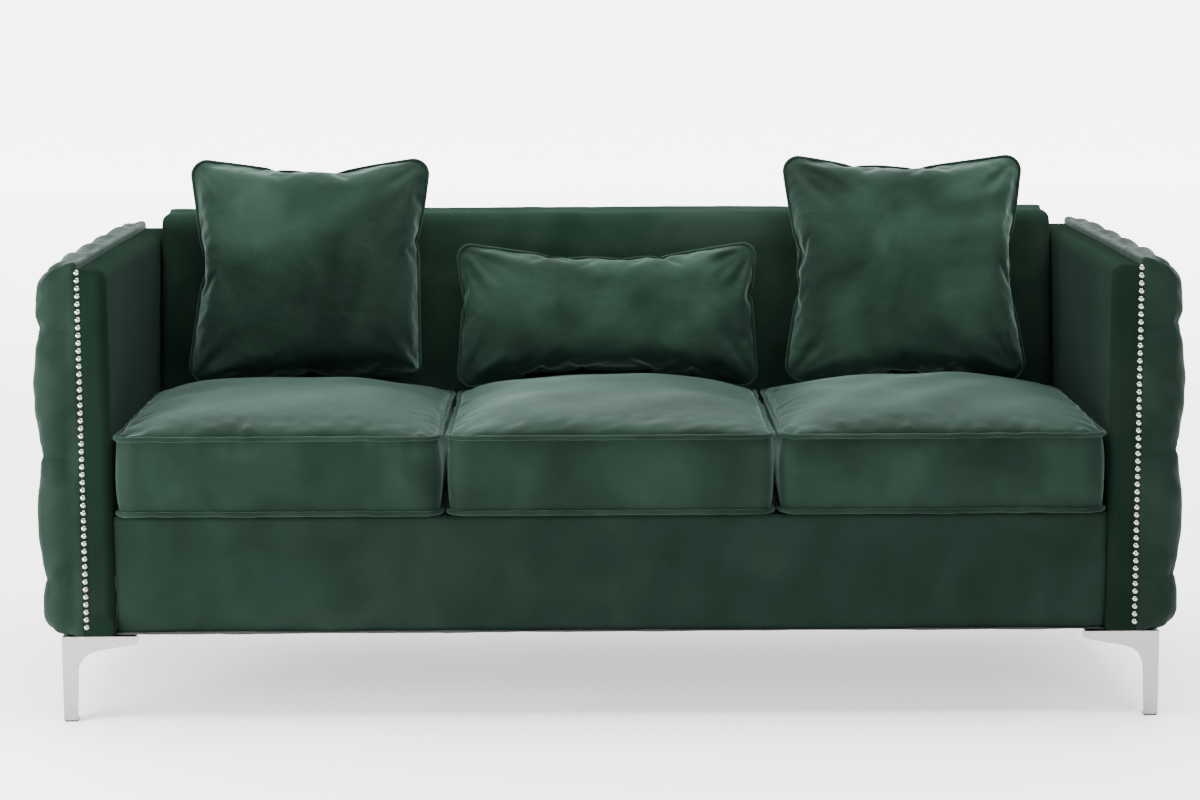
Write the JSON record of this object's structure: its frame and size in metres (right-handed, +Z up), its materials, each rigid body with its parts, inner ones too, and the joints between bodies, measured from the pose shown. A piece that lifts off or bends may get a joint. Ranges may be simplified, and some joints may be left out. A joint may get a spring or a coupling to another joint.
{
  "type": "three-seat sofa",
  "caption": "Velvet sofa with straight button-tufted arms, nailhead trim, loose box seat cushions, throw pillows and angled chrome legs.",
  "frame": {"origin": "on the floor, under the centre of the sofa's bounding box", "axes": "+X to the right seen from the front, -Y towards the front, +Z up"},
  "size_m": [1.936, 0.836, 0.9137],
  "materials": {
    "velvet": "dark bottle green velvet",
    "lumber": "sawn",
    "plywood": "sawn",
    "steel": "zinc plated",
    "lining": "black non-woven",
    "padding": "foam and wadding",
    "foam": "foam",
    "fill": "fibre fill",
    "leg_chrome": "satin",
    "glide": "matte",
    "nail_chrome": "polished",
    "zip_tape": "woven tape",
    "zip_metal": "painted"
  },
  "bodies": {
    "sofa": {"back_frame": "lumber", "back_inner_cover": "velvet", "back_outer_cover": "velvet", "back_pad": "padding", "back_webbing": "lining", "base_long_rails": "lumber", "base_side_rails": "lumber", "base_spring_rail": "lumber", "base_stretchers": "lumber", "corner_blocks": "lumber", "dust_cover": "lining", "frame_bolts": "steel", "front_rail_cover": "velvet", "front_rail_pad": "padding", "left_arm_frame": "lumber", "left_arm_inner_cover": "velvet", "left_arm_inner_pad": "padding", "left_arm_nailheads": "nail_chrome", "left_arm_outer_board": "plywood", "left_arm_outer_cover": "velvet", "left_arm_outer_pad": "padding", "left_arm_tufting_buttons": "velvet", "left_front_leg": "leg_chrome", "left_rear_leg": "leg_chrome", "leg_glides": "glide", "leg_screws": "steel", "right_arm_frame": "lumber", "right_arm_inner_cover": "velvet", "right_arm_inner_pad": "padding", "right_arm_nailheads": "nail_chrome", "right_arm_outer_board": "plywood", "right_arm_outer_cover": "velvet", "right_arm_outer_pad": "padding", "right_arm_tufting_buttons": "velvet", "right_front_leg": "leg_chrome", "right_rear_leg": "leg_chrome", "seat_deck": "lining", "seat_springs": "steel", "spring_clips": "steel"},
    "left_seat_cushion": {"left_seat_foam": "foam", "left_seat_cover": "velvet", "left_seat_piping": "velvet", "left_seat_zip": "zip_tape"},
    "left_seat_zip_slider": {"left_seat_zip_slider": "zip_metal"},
    "middle_seat_cushion": {"middle_seat_foam": "foam", "middle_seat_cover": "velvet", "middle_seat_piping": "velvet", "middle_seat_zip": "zip_tape"},
    "middle_seat_zip_slider": {"middle_seat_zip_slider": "zip_metal"},
    "right_seat_cushion": {"right_seat_foam": "foam", "right_seat_cover": "velvet", "right_seat_piping": "velvet", "right_seat_zip": "zip_tape"},
    "right_seat_zip_slider": {"right_seat_zip_slider": "zip_metal"},
    "left_pillow": {"left_pillow_fill": "fill", "left_pillow_cover": "velvet"},
    "right_pillow": {"right_pillow_fill": "fill", "right_pillow_cover": "velvet"},
    "lumbar_pillow": {"lumbar_pillow_fill": "fill", "lumbar_pillow_cover": "velvet"}
  },
  "joints": [
    {"name": "left_seat_cushion_lift", "type": "slide", "parent": "sofa", "child": "left_seat_cushion", "axis": [0, 0, 1], "range_m": [0, 0.48]},
    {"name": "middle_seat_cushion_lift", "type": "slide", "parent": "sofa", "child": "middle_seat_cushion", "axis": [0, 0, 1], "range_m": [0, 0.48]},
    {"name": "right_seat_cushion_lift", "type": "slide", "parent": "sofa", "child": "right_seat_cushion", "axis": [0, 0, 1], "range_m": [0, 0.48]},
    {"name": "left_pillow_lift", "type": "slide", "parent": "left_seat_cushion", "child": "left_pillow", "axis": [0, 0, 1], "range_m": [0, 0.4]},
    {"name": "right_pillow_lift", "type": "slide", "parent": "right_seat_cushion", "child": "right_pillow", "axis": [0, 0, 1], "range_m": [0, 0.4]},
    {"name": "lumbar_pillow_lift", "type": "slide", "parent": "middle_seat_cushion", "child": "lumbar_pillow", "axis": [0, 0, 1], "range_m": [0, 0.4]},
    {"name": "left_seat_zip_pull", "type": "slide", "parent": "left_seat_cushion", "child": "left_seat_zip_slider", "axis": [1, 0, 0], "range_m": [0, 0.43]},
    {"name": "middle_seat_zip_pull", "type": "slide", "parent": "middle_seat_cushion", "child": "middle_seat_zip_slider", "axis": [1, 0, 0], "range_m": [0, 0.43]},
    {"name": "right_seat_zip_pull", "type": "slide", "parent": "right_seat_cushion", "child": "right_seat_zip_slider", "axis": [1, 0, 0], "range_m": [0, 0.43]}
  ]
}
